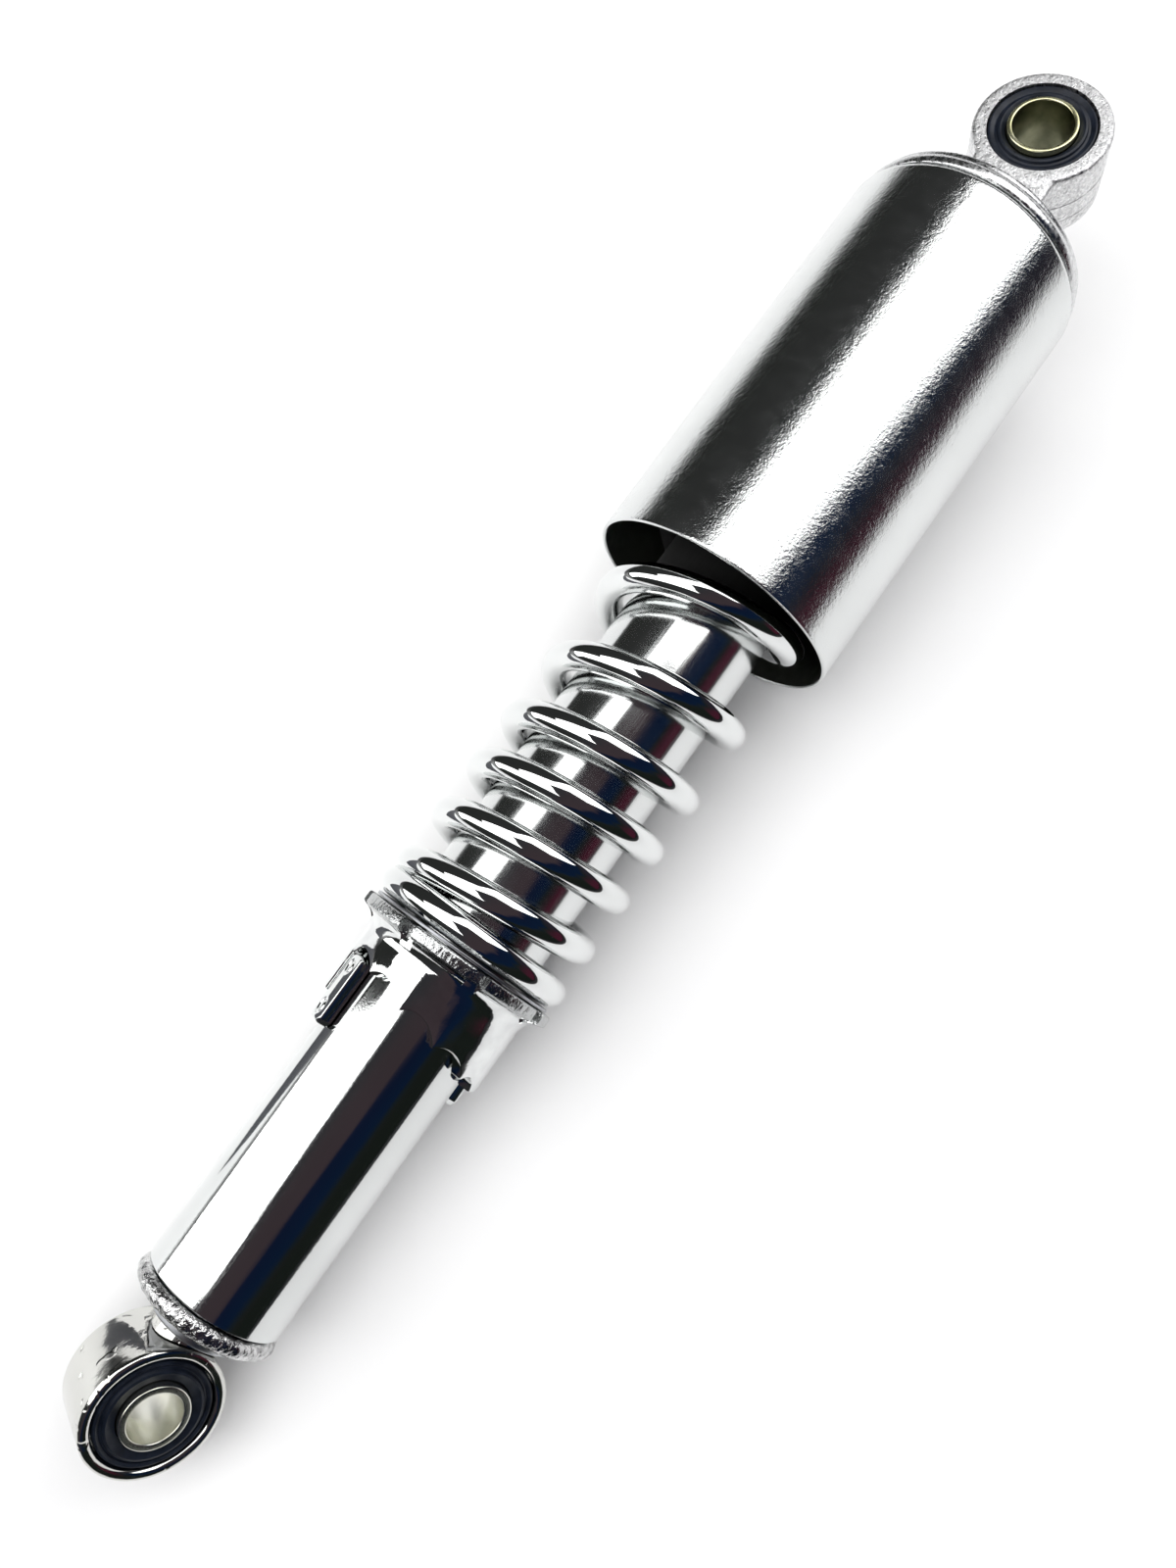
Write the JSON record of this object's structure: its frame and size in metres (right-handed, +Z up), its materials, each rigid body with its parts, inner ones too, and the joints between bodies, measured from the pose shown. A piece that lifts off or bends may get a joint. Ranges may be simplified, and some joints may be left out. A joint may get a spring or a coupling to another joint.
{
  "type": "rear shock absorber",
  "caption": "Twin-tube motorcycle shock absorber with an outer coil spring, a preload collar, a top cover and rubber-bushed eyes.",
  "frame": {"origin": "centre of the lower eye", "axes": "+X along the shock's axis from the lower eye to the upper eye, +Z up with the shock lying on its side as in the picture, +Y completes the right-handed frame; the lower eye's bolt axis is 43.5 degrees from +Z towards -Y and the upper eye's 9.1 degrees from +Z towards +Y"},
  "size_m": [0.3486, 0.056, 0.056],
  "materials": {
    "steel_chrome": "chrome-plated steel, polished, with small pits",
    "body_chrome": "chrome-plated tube, bright",
    "collar_chrome": "chrome-plated, bright, slightly wavy",
    "spring_chrome": "mirror chrome",
    "cover_chrome": "bright chrome over a faintly grained sheet",
    "rod_chrome": "hard chrome, ground",
    "weld_metal": "plated over a rough weld bead",
    "cast_aluminium": "as-cast, tumbled, grey-white",
    "zinc_steel": "zinc-plated, dull",
    "gold_zinc_steel": "yellow zinc-plated",
    "plain_steel": "machined steel",
    "ring_bronze": "sintered bronze",
    "black_rubber": "moulded black rubber"
  },
  "bodies": {
    "damper_body": {"lower_eye_ring": "steel_chrome", "lower_bush_rubber": "black_rubber", "lower_bush_sleeve": "zinc_steel", "lower_eye_weld": "weld_metal", "bottom_cap": "steel_chrome", "end_weld": "weld_metal", "body_tube": "body_chrome", "cam_lug_a": "steel_chrome", "cam_lug_b": "steel_chrome", "foot_valve": "plain_steel", "inner_cylinder": "plain_steel", "rod_guide": "plain_steel", "oil_seal": "black_rubber", "seal_cap": "body_chrome"},
    "lower_seat": {"lower_spring_seat": "plain_steel", "main_spring": "spring_chrome"},
    "collar": {"preload_collar": "collar_chrome"},
    "upper_seat": {"upper_spring_seat": "plain_steel"},
    "upper_unit": {"cover": "cover_chrome", "upper_eye": "cast_aluminium", "upper_bush_rubber": "black_rubber", "upper_bush_sleeve": "gold_zinc_steel", "piston_rod": "rod_chrome", "piston": "plain_steel", "piston_ring": "ring_bronze", "piston_nut": "plain_steel", "check_plate": "plain_steel", "rebound_stop": "plain_steel", "bump_stop": "black_rubber", "rod_lock_nut": "plain_steel"}
  },
  "joints": [
    {"name": "damper_stroke", "type": "slide", "parent": "damper_body", "child": "upper_seat", "axis": [1, 0, 0], "range_m": [-0.05, 0], "stiffness_N_per_m": 18000, "springref_m": 0.012, "deforming": ["main_spring"]},
    {"name": "rod_turn", "type": "hinge", "parent": "upper_seat", "child": "upper_unit", "pos_m": [0.24, 0, 0], "axis": [1, 0, 0], "continuous": true},
    {"name": "collar_lift", "type": "slide", "parent": "damper_body", "child": "lower_seat", "axis": [1, 0, 0], "range_m": [0, 0.0087], "deforming": ["main_spring"]},
    {"name": "collar_turn", "type": "hinge", "parent": "lower_seat", "child": "collar", "pos_m": [0.095, 0, 0], "axis": [-1, 0, 0], "range_deg": [0, 120]}
  ],
  "couplings": [
    {"joint": "collar_turn", "follows": "collar_lift", "rad_per_m": 240.73}
  ]
}
